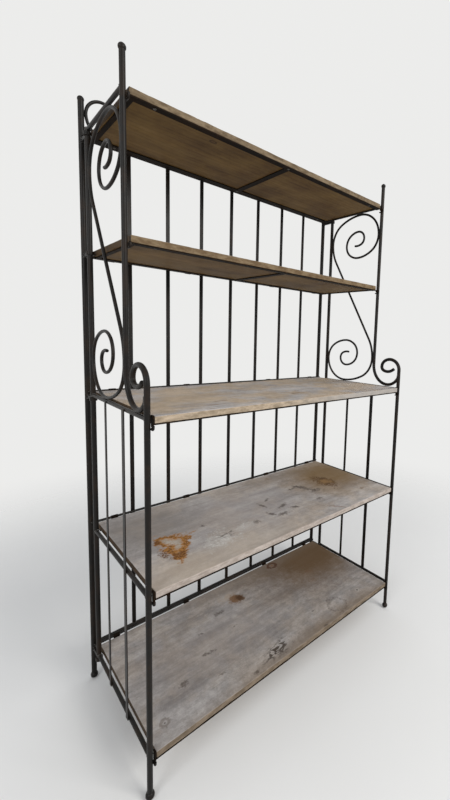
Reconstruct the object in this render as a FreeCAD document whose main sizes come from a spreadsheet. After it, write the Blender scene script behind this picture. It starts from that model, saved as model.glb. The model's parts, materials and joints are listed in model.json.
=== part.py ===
"""Folding iron rack with five wooden shelves, in millimetres.

The back frame stands on its own feet. A side frame swings on each of its outer posts,
and every shelf tips up about a pivot rod along the back frame and rests in the hooks
of the two side frames. +X is to the right, the front faces -Y and +Z is up. The origin
lies under the middle of the rack, on the floor.
"""
import FreeCAD, Part
import math
import os
from FreeCAD import Placement, Rotation, Vector

doc = FreeCAD.newDocument("folding_rack")
sheet = doc.addObject("Spreadsheet::Sheet", "Sizes")

DRIVING = {
    # Plan of the frames, between the axes of their bars
    "frame_width": 1014,
    "hinge_offset": 60,
    "upper_depth": 282,
    "lower_depth": 410,
    "back_bar_setback": 1.2,
    # Bars
    "back_post_dia": 16,
    "side_post_dia": 14,
    "rail_dia": 11,
    "strip_thickness": 2.5,
    "back_strip_width": 13,
    "back_strip_count": 7,
    "back_strip_pitch": 125.8,
    "rear_strip_width": 11,
    "front_strip_width": 15,
    "strip_overrun": 3,
    "scroll_dia": 9,
    "crest_dia": 9,
    "pivot_dia": 8,
    "curl_tip_dia": 12.5,
    "finial_dia": 18,
    "foot_dia": 22,
    "foot_flat": 0.5,
    # Heights of the balls, rails and shelf tops
    "back_finial_z": 1822,
    "front_finial_z": 1800,
    "back_top_rail_z": 1718,
    "back_bottom_rail_z": 122,
    "top_rail_z": 1718,
    "mid_rail_z": 967.5,
    "low_rail_z": 540,
    "bottom_rail_z": 119,
    "shelf_1_top": 1725,
    "shelf_2_top": 1393,
    "shelf_3_top": 973.5,
    "shelf_4_top": 549,
    "shelf_5_top": 123.5,
    # Shelf boards
    "board_thickness": 17,
    "board_end_gap": 7,
    "board_rear_gap": 6,
    "board_rounding": 1.2,
    "upper_front_reach": 0,
    "lower_front_reach": 7,
    # Flat bars under each board
    "bar_thickness": 3,
    "front_bar_width": 20,
    "rear_bar_width": 25,
    "end_bar_width": 12,
    "end_bar_inset": 4,
    "middle_bar_width": 20,
    # Knuckles that turn on the pivot rods
    "pivot_drop": 1,
    "knuckle_wall": 1.5,
    "knuckle_width": 20,
    # Lugs at the shelves' front corners and the hooks that hold them
    "lug_thickness": 3,
    "lug_width": 12,
    "lower_lug_rise": 2.5,
    "lug_drop": 28,
    "upper_lug_reach": 3,
    "lower_lug_reach": -5,
    "lug_front_gap": 0.8,
    "lug_side_gap": 0.5,
    "hook_dia": 5,
    "hook_bend": 6,
    "hook_rise": 10,
    "hook_tail": 6,
    # Rings that the side frames turn in
    "ring_height": 10,
    "ring_wall": 3.5,
    "link_width": 6,
    "rear_post_overrun": 2,
    # Screws that hold the boards
    "screw_spacing": 430,
    "screw_dia": 4,
    "screw_length": 14,
    "screw_head_dia": 8,
    "screw_head_height": 2.2,
    # Clearances
    "weld_gap": 0.2,
    "seat_gap": 0.3,
    "running_gap": 0.05,
    "hole_gap": 0.1,
    "pivot_link_gap": 1,
    # Scroll of the side frames: forward of the rear post and below the crown
    "stem_bend": 45,
    "shoulder_drop": 108,
    "crown_reach": 168,
    "breast_drop": 99,
    "floor_reach": 163,
    "floor_drop": 183,
    "inner_rear_reach": 96,
    "inner_rear_drop": 126,
    "inner_crown_reach": 160,
    "inner_crown_drop": 70,
    "inner_front_reach": 194,
    "inner_front_drop": 102,
    "scroll_end_reach": 145,
    "scroll_end_drop": 130,
    "scroll_end_heading": 170,
    # Foot of the upper front post, which runs forward along the mid rail
    "foot_bend_rise": 79,
    "foot_bend_share": 0.57,
    "foot_tip_rise": 42,
    "foot_tip_heading": 75,
    "foot_tip_dia": 12.5,
    # Curl of the lower front post, its places behind the post as shares of its width
    "curl_start_rise": 77.5,
    "curl_post_gap": 28.5,
    "curl_top_share": 0.535,
    "curl_top_rise": 42,
    "curl_rear_share": 1,
    "curl_rear_rise": 9,
    "curl_floor_share": 0.675,
    "curl_floor_rise": -10,
    "curl_end_share": 0.29,
    "curl_end_rise": 3,
    "curl_end_heading": 42,
    # Crest scrolls: inward of the back post and above the bar's lowest line
    "crest_outer_rise": 60,
    "crest_crown_reach": 58,
    "crest_crown_rise": 108,
    "crest_right_reach": 98,
    "crest_right_rise": 69,
    "crest_inner_floor_reach": 66,
    "crest_inner_floor_rise": 40,
    "crest_inner_left_reach": 44,
    "crest_inner_left_rise": 62,
    "crest_inner_end_reach": 62,
    "crest_inner_end_rise": 80,
    "crest_tail_start": 68,
    "crest_tail_end": 200,
    "crest_far_reach": 248,
    "crest_far_rise": 42,
    "crest_far_crown_reach": 212,
    "crest_far_crown_rise": 74,
    "crest_far_left_reach": 184,
    "crest_far_left_rise": 46,
    "crest_far_floor_reach": 208,
    "crest_far_floor_rise": 24,
    "crest_far_end_reach": 227,
    "crest_far_end_rise": 38,
}

DERIVED = {
    "post_x": "frame_width / 2",
    "front_reach": "lower_front_reach + lower_lug_reach + lug_width / 2 + lug_front_gap + hook_dia",
    "total_depth": "foot_dia / 2 + hinge_offset + lower_depth + front_reach",
    "back_y": "total_depth / 2 - foot_dia / 2",
    "back_bar_y": "back_y + back_bar_setback",
    "rear_post_y": "back_y - hinge_offset",
    "upper_post_y": "rear_post_y - upper_depth",
    "lower_post_y": "rear_post_y - lower_depth",
    "upper_front_y": "upper_post_y - upper_front_reach",
    "lower_front_y": "lower_post_y - lower_front_reach",
    "back_strip_height": "back_top_rail_z - back_bottom_rail_z",
    "side_strip_x": "post_x + rail_dia / 2 + weld_gap + strip_thickness / 2",
    "side_strip_height": "mid_rail_z - bottom_rail_z + 2 * strip_overrun",
    "rear_strip_y": "rear_post_y - lower_depth / 3",
    "front_strip_y": "rear_post_y - 2 * lower_depth / 3",
    "foot_z": "foot_dia / 2 - foot_flat",
    "back_post_foot": "foot_z + sqrt(foot_dia ^ 2 - back_post_dia ^ 2) / 2",
    "back_post_head": "back_finial_z - sqrt(finial_dia ^ 2 - back_post_dia ^ 2) / 2",
    "side_post_foot": "foot_z + sqrt(foot_dia ^ 2 - side_post_dia ^ 2) / 2",
    "front_post_head": "front_finial_z - sqrt(finial_dia ^ 2 - side_post_dia ^ 2) / 2",
    "pivot_y": "back_y - back_post_dia / 2 - pivot_dia / 2 - weld_gap",
    "knuckle_dia": "pivot_dia + 2 * running_gap + 2 * knuckle_wall",
    "board_rear_y": "pivot_y - knuckle_dia / 2 - board_rear_gap",
    "board_length": "frame_width - side_post_dia - 2 * board_end_gap",
    "upper_board_depth": "board_rear_y - upper_front_y",
    "lower_board_depth": "board_rear_y - lower_front_y",
    "hook_x": "post_x - side_post_dia / 2 - weld_gap - hook_dia / 2",
    "lug_x": "post_x - max(side_post_dia; finial_dia) / 2 - lug_side_gap - lug_thickness / 2",
    "front_bar_length": "2 * lug_x - lug_thickness",
    "upper_lug_rise": "-board_thickness",
    "curl_start_z": "mid_rail_z + curl_start_rise",
    "curl_width": "lower_depth - upper_depth - side_post_dia - curl_post_gap",
    "ring_dia": "side_post_dia + 2 * running_gap + 2 * ring_wall",
    "ring_drop": "rail_dia / 2 + seat_gap + ring_height",
    "top_ring_z": "top_rail_z - ring_drop",
    "upper_ring_z": "shelf_2_top - pivot_drop - pivot_dia / 2 - pivot_link_gap - ring_height",
    "mid_ring_z": "mid_rail_z - ring_drop",
    "bottom_ring_z": "bottom_rail_z - ring_drop",
    "rear_post_foot": "bottom_ring_z - rear_post_overrun",
    "rear_post_height": "top_rail_z + rail_dia / 2 - rear_post_foot",
}

for row, (alias, number) in enumerate(DRIVING.items(), start=1):
    sheet.set(f"A{row}", alias)
    sheet.set(f"B{row}", str(number))
    sheet.setAlias(f"B{row}", alias)
for row, (alias, formula) in enumerate(DERIVED.items(), start=1):
    sheet.set(f"C{row}", alias)
    sheet.set(f"D{row}", "=" + formula)
    sheet.setAlias(f"D{row}", alias)
doc.recompute()

SIDES = {"left": -1, "right": 1}
UPRIGHT = Rotation()
ACROSS = Rotation(Vector(0, 1, 0), 90)
FORWARD = Rotation(Vector(1, 0, 0), 90)
pieces = {}


def size(alias):
    """The number that the sheet holds under this alias."""
    return float(getattr(sheet, alias))


def keep(node, shape_object):
    """Make an object of the document one of the rack's named pieces."""
    shape_object.Label = node
    pieces[node] = shape_object
    return shape_object


def place(part, x, y, z, rotation=UPRIGHT):
    """Put a part at three expressions over the sheet."""
    part.Placement = Placement(Vector(), rotation)
    for axis, expression in zip("xyz", (x, y, z)):
        part.setExpression("Placement.Base." + axis, expression)


def round_bar(name, diameter, length, x, y, z, rotation=UPRIGHT):
    """A round bar that starts at x, y, z."""
    bar = doc.addObject("Part::Cylinder", name)
    bar.setExpression("Radius", f"({diameter}) / 2")
    bar.setExpression("Height", length)
    place(bar, x, y, z, rotation)
    return bar


def block(name, length, width, height, x, y, z):
    """A rectangular bar whose lowest corner is at x, y, z."""
    box = doc.addObject("Part::Box", name)
    for side, expression in (("Length", length), ("Width", width), ("Height", height)):
        box.setExpression(side, expression)
    place(box, x, y, z)
    return box


def group(name, members):
    """Several solids as one object."""
    compound = doc.addObject("Part::Compound", name)
    compound.Links = members
    return compound


def cut(name, base, tool):
    """The base without the tool's volume."""
    result = doc.addObject("Part::Cut", name)
    result.Base = base
    result.Tool = tool
    return result


def fuse(name, members):
    """Several solids joined into one."""
    result = doc.addObject("Part::MultiFuse", name)
    result.Shapes = members
    return result


def arc(start, heading, end):
    """The arc that leaves start along heading and ends at end, and its heading there."""
    chord = end - start
    along = Vector(chord).normalize()
    halfway = (heading + along).normalize()
    middle = start + halfway * (chord.Length / 2 / halfway.dot(along))
    return Part.Arc(start, middle, end).toShape(), along * (2 * along.dot(heading)) - heading


def bend(start, leave, end, arrive):
    """A straight line where both headings agree, otherwise two tangent arcs."""
    spread = 2 * (1 - leave.dot(arrive))
    if spread < 1e-9:
        return [Part.LineSegment(start, end).toShape()]
    span = end - start
    lean = span.dot(leave + arrive)
    reach = (math.sqrt(lean ** 2 + spread * span.dot(span)) - lean) / spread
    joint = (start + leave * reach + end - arrive * reach) / 2
    first, heading = arc(start, leave, joint)
    second, heading = arc(joint, heading, end)
    return [first, second]


def path_along(stations):
    """A wire of tangent lines and arcs through (point, heading) stations."""
    edges = []
    for (start, leave), (end, arrive) in zip(stations, stations[1:]):
        edges += bend(start, leave, end, arrive)
    return Part.Wire(edges)


def bent_bar(name, stations, diameter, tip_diameter=None):
    """A round bar bent along the stations, which may draw down towards its tip."""
    sections = [Part.Wire(Part.Circle(*stations[0], diameter / 2).toShape())]
    if tip_diameter:
        sections.append(Part.Wire(Part.Circle(*stations[-1], tip_diameter / 2).toShape()))
    bar = doc.addObject("Part::Feature", name)
    bar.Shape = path_along(stations).makePipeShell(sections, True, False)
    return bar


def side_station(reach, height, heading):
    """A station in the plane of a side frame, reach being forward of its rear post.

    The heading is in degrees: 0 is forward and 90 is up.
    """
    turn = math.radians(heading)
    point = Vector(0, size("rear_post_y") - reach, height)
    return point, Vector(0, -math.cos(turn), math.sin(turn))


def half_turned(stations, centre):
    """The stations turned half round a centre in their plane, in reverse order."""
    return [(centre * 2 - point, Vector(heading)) for point, heading in reversed(stations)]


def ball(node, diameter, x, y, z, low, high):
    """A ball whose flats lie at two latitudes."""
    knob = doc.addObject("Part::Sphere", node)
    knob.setExpression("Radius", f"{diameter} / 2")
    knob.setExpression("Angle1", low)
    knob.setExpression("Angle2", high)
    place(knob, x, y, z)
    return keep(node, knob)


def foot(node, post_dia, x, y):
    """A ball foot with a small flat on the floor and one under its post."""
    floor_flat = "-asin(2 * Sizes.foot_z / Sizes.foot_dia)"
    post_seat = f"acos(Sizes.{post_dia} / Sizes.foot_dia)"
    ball(node, "Sizes.foot_dia", x, y, "Sizes.foot_z", floor_flat, post_seat)


def finial(node, post_dia, x, y, z):
    """A ball on the head of a post."""
    ball(node, "Sizes.finial_dia", x, y, z, f"-acos(Sizes.{post_dia} / Sizes.finial_dia)", "90")


def back_frame():
    """Posts, rails, flat uprights, feet and finials, all welded in one plane."""
    posts = []
    for side, sign in SIDES.items():
        x = f"{sign} * Sizes.post_x"
        post = round_bar(
            f"back_post_{side}", "Sizes.back_post_dia",
            "Sizes.back_post_head - Sizes.back_post_foot", x, "Sizes.back_y", "Sizes.back_post_foot")
        posts.append(keep(f"back_post_{side}", post))
        foot(f"back_foot_{side}", "back_post_dia", x, "Sizes.back_y")
        finial(f"back_finial_{side}", "back_post_dia", x, "Sizes.back_y", "Sizes.back_finial_z")
    both_posts = group("back_posts", posts)
    rails = []
    for level in ("top", "bottom"):
        bar = round_bar(
            f"back_{level}_bar", "Sizes.rail_dia", "Sizes.frame_width",
            "-Sizes.post_x", "Sizes.back_bar_y", f"Sizes.back_{level}_rail_z", ACROSS)
        rails.append(keep(f"back_{level}_rail", cut(f"back_{level}_rail", bar, both_posts)))
    strips = []
    middle = (size("back_strip_count") - 1) / 2
    for index in range(int(size("back_strip_count"))):
        strips.append(block(
            f"back_strip_{index + 1}", "Sizes.back_strip_width", "Sizes.strip_thickness",
            "Sizes.back_strip_height",
            f"({index - middle}) * Sizes.back_strip_pitch - Sizes.back_strip_width / 2",
            "Sizes.back_bar_y - Sizes.strip_thickness / 2", "Sizes.back_bottom_rail_z"))
    keep("back_strips", cut("back_strips", group("back_strip_bars", strips), group("back_rails", rails)))
    return dict(zip(SIDES, posts))


def crest(side, sign):
    """A scroll that lies on the back top rail and curls up at both ends."""
    base = size("back_top_rail_z") + (size("rail_dia") + size("crest_dia")) / 2 + size("weld_gap")
    touch = (size("back_post_dia") + size("crest_dia")) / 2 + size("weld_gap")

    def station(reach, rise, heading):
        turn = math.radians(heading)
        point = Vector(sign * (size("post_x") - reach), size("back_bar_y"), base + rise)
        return point, Vector(-sign * math.cos(turn), 0, math.sin(turn))

    def spot(name, heading):
        return station(size(f"crest_{name}_reach"), size(f"crest_{name}_rise"), heading)

    stations = [
        spot("inner_end", 200),
        spot("inner_left", 270),
        spot("inner_floor", 0),
        spot("right", 90),
        spot("crown", 180),
        station(touch, size("crest_outer_rise"), 270),
        station(size("crest_tail_start"), 0, 0),
        station(size("crest_tail_end"), 0, 0),
        spot("far", 90),
        spot("far_crown", 180),
        spot("far_left", 270),
        spot("far_floor", 0),
        spot("far_end", 50),
    ]
    keep(f"crest_scroll_{side}", bent_bar(f"crest_scroll_{side}", stations, size("crest_dia")))


def hinge_rings(side, sign, back_post):
    """Four rings round the side frame's rear post, each on a link from the back post."""
    x = f"{sign} * Sizes.post_x"
    links = []
    for level in ("top", "upper", "mid", "bottom"):
        name = f"{level}_ring_{side}"
        z = f"Sizes.{level}_ring_z"
        ring = round_bar(name, "Sizes.ring_dia", "Sizes.ring_height", x, "Sizes.rear_post_y", z)
        link = block(
            f"{name}_link", "Sizes.link_width", "Sizes.hinge_offset", "Sizes.ring_height",
            f"{x} - Sizes.link_width / 2", "Sizes.rear_post_y", z)
        links.append(fuse(f"{name}_whole", [ring, link]))
    bore = round_bar(
        f"ring_bore_{side}", "Sizes.side_post_dia + 2 * Sizes.running_gap", "Sizes.top_rail_z",
        x, "Sizes.rear_post_y", "0")
    bored = cut(f"bored_rings_{side}", group(f"ring_blanks_{side}", links), bore)
    keep(f"hinge_rings_{side}", cut(f"hinge_rings_{side}", bored, back_post))


def front_posts(side, x):
    """The upper front post, whose bent foot is coped to the lower post, and the lower one with its curl."""
    radius = size("side_post_dia") / 2
    upper, lower = size("upper_depth"), size("lower_depth")
    rest = size("mid_rail_z") + size("rail_dia") / 2 + radius + size("weld_gap")
    lowest = upper + size("foot_bend_share") * (lower - upper)
    bent_post = bent_bar(f"bent_post_{side}", [
        side_station(upper, size("front_post_head"), 270),
        side_station(upper, rest + size("foot_bend_rise"), 270),
        side_station(lowest, rest, 0),
        side_station(lower, rest + size("foot_tip_rise"), size("foot_tip_heading")),
    ], 2 * radius, size("foot_tip_dia"))

    def spot(name, heading):
        behind = size(f"curl_{name}_share") * size("curl_width")
        return side_station(lower - behind, size("curl_start_z") + size(f"curl_{name}_rise"), heading)

    curl = bent_bar(f"curl_{side}", [
        side_station(lower, size("curl_start_z"), 90),
        spot("top", 180),
        spot("rear", 270),
        spot("floor", 0),
        spot("end", size("curl_end_heading")),
    ], 2 * radius, size("curl_tip_dia"))
    for bent in (bent_post, curl):
        place(bent, x, "0", "0")
    stem = round_bar(
        f"lower_front_stem_{side}", "Sizes.side_post_dia", "Sizes.curl_start_z - Sizes.side_post_foot",
        x, "Sizes.lower_post_y", "Sizes.side_post_foot")
    upper_post = keep(f"upper_front_post_{side}", cut(f"upper_front_post_{side}", bent_post, stem))
    keep(f"lower_front_post_{side}", fuse(f"lower_front_post_{side}", [stem, curl]))
    return upper_post, stem


def side_scroll(side, x):
    """An S between the top and mid rails, its two curls alike by a half turn."""
    bar = size("scroll_dia") / 2 + size("weld_gap")
    rear = size("side_post_dia") / 2 + bar
    front = size("upper_depth") - rear
    crown = size("top_rail_z") - size("rail_dia") / 2 - bar
    floor = size("mid_rail_z") + size("rail_dia") / 2 + bar
    centre, upright = side_station((rear + front) / 2, (crown + floor) / 2, 90)
    shoulder = crown - size("shoulder_drop")
    stem_height = shoulder - size("stem_bend") - centre.z
    stem_angle = math.degrees(math.atan2(stem_height, (front - rear) / 2))
    lean = math.radians(stem_angle)

    def spot(name, heading):
        return side_station(size(f"{name}_reach"), crown - size(f"{name}_drop"), heading)

    curl = [
        spot("scroll_end", size("scroll_end_heading") - 180),
        spot("inner_front", 90),
        spot("inner_crown", 180),
        spot("inner_rear", 270),
        spot("floor", 0),
        side_station(front, crown - size("breast_drop"), 90),
        side_station(size("crown_reach"), crown, 180),
        side_station(rear, shoulder, 270),
        side_station(
            rear + size("stem_bend") * math.cos(lean),
            shoulder - size("stem_bend") * (1 + math.sin(lean)), -stem_angle),
    ]
    scroll = bent_bar(f"side_scroll_{side}", curl + half_turned(curl, centre), size("scroll_dia"))
    place(scroll, x, "0", "0")
    keep(scroll.Name, scroll)


def hooks(side, sign):
    """A small upturned hook on the front post for each shelf's corner."""
    radius = size("hook_dia") / 2
    members = []
    for number in range(1, 6):
        level = "upper" if number < 3 else "lower"
        post = size(f"{level}_depth")
        front_edge = post + size(f"{level}_front_reach") + size(f"{level}_lug_reach")
        tip = front_edge + size("lug_width") / 2 + size("lug_front_gap") + radius
        low = size(f"shelf_{number}_top") - size("lug_drop") - size("seat_gap") - radius
        members.append(bent_bar(f"hook_{number}_{side}", [
            side_station(post - size("hook_tail"), low, 0),
            side_station(tip - size("hook_bend"), low, 0),
            side_station(tip, low + size("hook_bend"), 90),
            side_station(tip, low + size("hook_rise"), 90),
        ], 2 * radius))
        place(members[-1], f"{sign} * Sizes.hook_x", "0", "0")
    keep(f"hooks_{side}", group(f"hooks_{side}", members))


def side_frame(side, sign):
    """Three posts, four rails, two flat uprights, a scroll and the hooks, welded together."""
    x = f"{sign} * Sizes.post_x"
    rear_post = keep(f"rear_post_{side}", round_bar(
        f"rear_post_{side}", "Sizes.side_post_dia", "Sizes.rear_post_height",
        x, "Sizes.rear_post_y", "Sizes.rear_post_foot"))
    upper_post, lower_stem = front_posts(side, x)
    for level in ("top", "mid", "low", "bottom"):
        depth = "upper_depth" if level == "top" else "lower_depth"
        front_post = upper_post if level == "top" else lower_stem
        bar = round_bar(
            f"{level}_bar_{side}", "Sizes.rail_dia", f"Sizes.{depth}",
            x, "Sizes.rear_post_y", f"Sizes.{level}_rail_z", FORWARD)
        ends = group(f"{level}_rail_ends_{side}", [rear_post, front_post])
        keep(f"{level}_rail_{side}", cut(f"{level}_rail_{side}", bar, ends))
    for place_name in ("rear", "front"):
        width = f"Sizes.{place_name}_strip_width"
        keep(f"{place_name}_strip_{side}", block(
            f"{place_name}_strip_{side}", "Sizes.strip_thickness", width, "Sizes.side_strip_height",
            f"{sign} * Sizes.side_strip_x - Sizes.strip_thickness / 2",
            f"Sizes.{place_name}_strip_y - {width} / 2",
            "Sizes.bottom_rail_z - Sizes.strip_overrun"))
    foot(f"front_foot_{side}", "side_post_dia", x, "Sizes.lower_post_y")
    finial(f"front_finial_{side}", "side_post_dia", x, "Sizes.upper_post_y", "Sizes.front_finial_z")
    side_scroll(side, x)
    hooks(side, sign)


def screw_places():
    """Where the screws go through the front and rear bars: x, and the bar's name."""
    for bar in ("front", "rear"):
        for step in (-1, 0, 1):
            yield bar, f"{step} * Sizes.screw_spacing"


def shelf(number):
    """A board on a frame of flat bars, with its screws, lugs, knuckles and pivot rod."""
    level = "upper" if number < 3 else "lower"
    top = f"Sizes.shelf_{number}_top"
    underside = f"{top} - Sizes.board_thickness"
    low = f"{underside} - Sizes.bar_thickness"
    front = f"Sizes.{level}_front_y"
    bar_y = {
        "front": f"{front} + Sizes.front_bar_width / 2",
        "rear": "Sizes.board_rear_y - Sizes.rear_bar_width / 2",
    }

    def upright(name, diameter, length, x, y, z):
        return round_bar(f"{name}_{number}", diameter, length, x, y, z)

    screws, holes = [], []
    for bar, x in screw_places():
        head = upright(
            "screw_head", "Sizes.screw_head_dia", "Sizes.screw_head_height",
            x, bar_y[bar], f"{low} - Sizes.screw_head_height")
        shank = upright("screw_shank", "Sizes.screw_dia", "Sizes.screw_length", x, bar_y[bar], low)
        screws.append(fuse(f"screw_{number}", [head, shank]))
        holes.append(upright(
            "screw_hole", "Sizes.screw_dia + 2 * Sizes.hole_gap",
            "Sizes.screw_length + Sizes.hole_gap", x, bar_y[bar], low))
    keep(f"shelf_{number}_screws", group(f"shelf_{number}_screws", screws))
    all_holes = group(f"screw_holes_{number}", holes)

    body = doc.addObject("PartDesign::Body", f"board_{number}")
    slab = body.newObject("PartDesign::AdditiveBox", f"slab_{number}")
    slab.setExpression("Length", "Sizes.board_length")
    slab.setExpression("Width", f"Sizes.{level}_board_depth")
    slab.setExpression("Height", "Sizes.board_thickness")
    edges = body.newObject("PartDesign::Fillet", f"rounded_{number}")
    edges.Base = (slab, [""])
    edges.UseAllEdges = True
    edges.setExpression("Radius", "Sizes.board_rounding")
    place(body, "-Sizes.board_length / 2", front, underside)
    keep(f"shelf_{number}_board", cut(f"shelf_{number}_board", body, all_holes))

    def flat(name, length, width, x, y):
        return block(f"{name}_bar_{number}", length, width, "Sizes.bar_thickness", x, y, low)

    inner_depth = f"Sizes.{level}_board_depth - Sizes.front_bar_width - Sizes.rear_bar_width"
    inner_front = f"{front} + Sizes.front_bar_width"
    bars = [
        flat("front", "Sizes.front_bar_length", "Sizes.front_bar_width",
             "-Sizes.front_bar_length / 2", front),
        flat("rear", "Sizes.board_length", "Sizes.rear_bar_width",
             "-Sizes.board_length / 2", "Sizes.board_rear_y - Sizes.rear_bar_width"),
        flat("middle", "Sizes.middle_bar_width", inner_depth,
             "-Sizes.middle_bar_width / 2", inner_front),
        flat("left", "Sizes.end_bar_width", inner_depth,
             "Sizes.end_bar_inset - Sizes.board_length / 2", inner_front),
        flat("right", "Sizes.end_bar_width", inner_depth,
             "Sizes.board_length / 2 - Sizes.end_bar_inset - Sizes.end_bar_width", inner_front),
    ]
    drilled = cut(f"drilled_bars_{number}", group(f"bars_{number}", bars), all_holes)

    lug_y = f"{front} - Sizes.{level}_lug_reach"
    lug_low = f"{top} - Sizes.lug_drop + Sizes.lug_width / 2"
    lugs = []
    for side, sign in SIDES.items():
        lug_x = f"{sign} * Sizes.lug_x - Sizes.lug_thickness / 2"
        strap = block(
            f"lug_{side}_{number}", "Sizes.lug_thickness", "Sizes.lug_width",
            f"Sizes.{level}_lug_rise + Sizes.lug_drop - Sizes.lug_width / 2",
            lug_x, f"{lug_y} - Sizes.lug_width / 2", lug_low)
        tip = round_bar(
            f"lug_tip_{side}_{number}", "Sizes.lug_width", "Sizes.lug_thickness",
            lug_x, lug_y, lug_low, ACROSS)
        lugs.append(fuse(f"lug_whole_{side}_{number}", [strap, tip]))
    notched = cut(f"notched_bars_{number}", drilled, group(f"lugs_{number}", lugs))

    pivot_z = f"{top} - Sizes.pivot_drop"
    eyes = []
    for gap in (-3.5, -1.5, 1.5, 3.5):
        eye_x = f"{gap} * Sizes.back_strip_pitch - Sizes.knuckle_width / 2"
        eye = round_bar(
            f"eye_{number}", "Sizes.knuckle_dia", "Sizes.knuckle_width",
            eye_x, "Sizes.pivot_y", pivot_z, ACROSS)
        strap = block(
            f"eye_strap_{number}", "Sizes.knuckle_width", "Sizes.knuckle_wall",
            "Sizes.board_thickness + Sizes.bar_thickness - Sizes.pivot_drop",
            eye_x, "Sizes.pivot_y - Sizes.knuckle_dia / 2", low)
        sole = block(
            f"eye_sole_{number}", "Sizes.knuckle_width",
            "Sizes.board_rear_gap + Sizes.knuckle_wall", "Sizes.bar_thickness",
            eye_x, "Sizes.board_rear_y", low)
        eyes.append(fuse(f"eye_whole_{number}", [eye, strap, sole]))
    bore = round_bar(
        f"eye_bore_{number}", "Sizes.pivot_dia + 2 * Sizes.running_gap", "Sizes.frame_width",
        "-Sizes.post_x", "Sizes.pivot_y", pivot_z, ACROSS)
    knuckles = cut(f"knuckles_{number}", group(f"knuckle_blanks_{number}", eyes), bore)
    keep(f"shelf_{number}_frame", group(f"shelf_{number}_frame", [notched] + lugs + [knuckles]))

    keep(f"pivot_rod_{number}", round_bar(
        f"pivot_rod_{number}", "Sizes.pivot_dia", "Sizes.frame_width",
        "-Sizes.post_x", "Sizes.pivot_y", pivot_z, ACROSS))


def check_and_export():
    """Stop on any failed object or shape, then write one file for each piece."""
    doc.recompute()
    for item in doc.Objects:
        if "Invalid" in item.State or "Error" in item.State:
            raise RuntimeError(f"{item.Label} did not recompute: {item.State}")
    for node, piece in pieces.items():
        shape = piece.Shape
        if shape.isNull() or not shape.isValid() or not shape.Solids:
            raise RuntimeError(f"{node} has no valid shape")
    os.makedirs("parts", exist_ok=True)
    for node, piece in pieces.items():
        piece.Shape.exportStep(f"parts/{node}.step")


back_posts = back_frame()
for side_name, side_sign in SIDES.items():
    crest(side_name, side_sign)
    hinge_rings(side_name, side_sign, back_posts[side_name])
    side_frame(side_name, side_sign)
for shelf_number in range(1, 6):
    shelf(shelf_number)
check_and_export()
print(len(pieces), "pieces")
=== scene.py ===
"""Looks of the folding iron rack: its boards, welds, screws and finishes, with the camera and the light.

Lengths are in metres, in the model's own frame: +X to the right, the front faces -Y, +Z up.
"""
import bmesh
import bpy
import json
import math
import random
from mathutils import Matrix, Vector, noise
from mathutils.bvhtree import BVHTree

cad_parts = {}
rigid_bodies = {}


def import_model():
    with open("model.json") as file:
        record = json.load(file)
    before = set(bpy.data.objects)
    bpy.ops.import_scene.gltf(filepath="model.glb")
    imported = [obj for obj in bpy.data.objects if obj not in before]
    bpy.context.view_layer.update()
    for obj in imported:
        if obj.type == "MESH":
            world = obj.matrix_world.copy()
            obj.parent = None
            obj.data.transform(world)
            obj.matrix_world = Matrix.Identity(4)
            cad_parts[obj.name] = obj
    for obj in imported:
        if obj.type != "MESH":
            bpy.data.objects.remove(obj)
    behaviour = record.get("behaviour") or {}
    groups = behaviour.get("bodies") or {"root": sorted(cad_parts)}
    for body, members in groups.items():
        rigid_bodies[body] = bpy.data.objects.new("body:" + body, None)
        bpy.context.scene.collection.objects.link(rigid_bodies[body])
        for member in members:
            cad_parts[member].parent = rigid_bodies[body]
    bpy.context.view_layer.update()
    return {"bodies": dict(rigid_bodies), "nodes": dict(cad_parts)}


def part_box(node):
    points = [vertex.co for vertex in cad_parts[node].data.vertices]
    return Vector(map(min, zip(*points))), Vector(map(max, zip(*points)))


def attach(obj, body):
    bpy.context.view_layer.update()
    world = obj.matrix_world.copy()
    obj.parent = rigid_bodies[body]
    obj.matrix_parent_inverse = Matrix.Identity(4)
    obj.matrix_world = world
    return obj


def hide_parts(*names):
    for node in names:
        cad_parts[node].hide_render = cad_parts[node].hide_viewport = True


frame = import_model()
MM = 0.001
SHELVES = range(1, 6)


# Camera: the picture and its lens are measured in pixels, and angles in radians
PICTURE_WIDTH, PICTURE_HEIGHT = 450, 800
FOCAL_PIXELS = 379.336
CENTRE_X, CENTRE_Y = 317.225, 377.723
CAMERA_PLACE = Vector((-0.83579, -1.09064, 1.16309))
CAMERA_YAW, CAMERA_PITCH, CAMERA_ROLL = 0.79091, -0.10333, 0.03862
SENSOR_WIDTH = 36
NEAREST_SEEN = 0.02


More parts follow.
